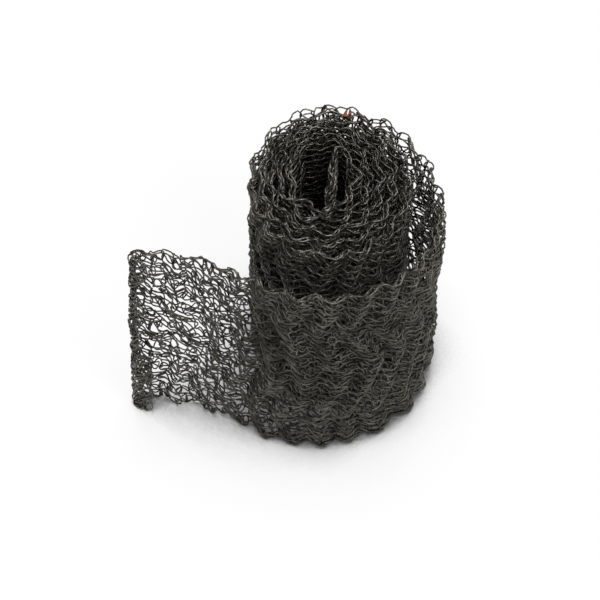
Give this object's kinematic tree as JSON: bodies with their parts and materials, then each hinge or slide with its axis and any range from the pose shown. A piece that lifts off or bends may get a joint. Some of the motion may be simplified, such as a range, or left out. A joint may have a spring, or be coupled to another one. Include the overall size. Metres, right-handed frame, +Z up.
{
  "type": "stainless steel mesh roll",
  "caption": "Crimped knitted wire mesh strip, coiled loosely and standing on its edge, with its outer turn swung clear into a short tail.",
  "frame": {"origin": "on the surface that the roll stands on, under the middle of its outline", "axes": "+Z up along the coil's axis, +X away from the tail's end, -Y towards the side that shows the tail"},
  "size_m": [0.1466, 0.111, 0.127],
  "materials": {
    "steel_wire": "dull drawn wire"
  },
  "bodies": {
    "root": {"knitted_mesh_strip": "steel_wire"}
  },
  "joints": []
}
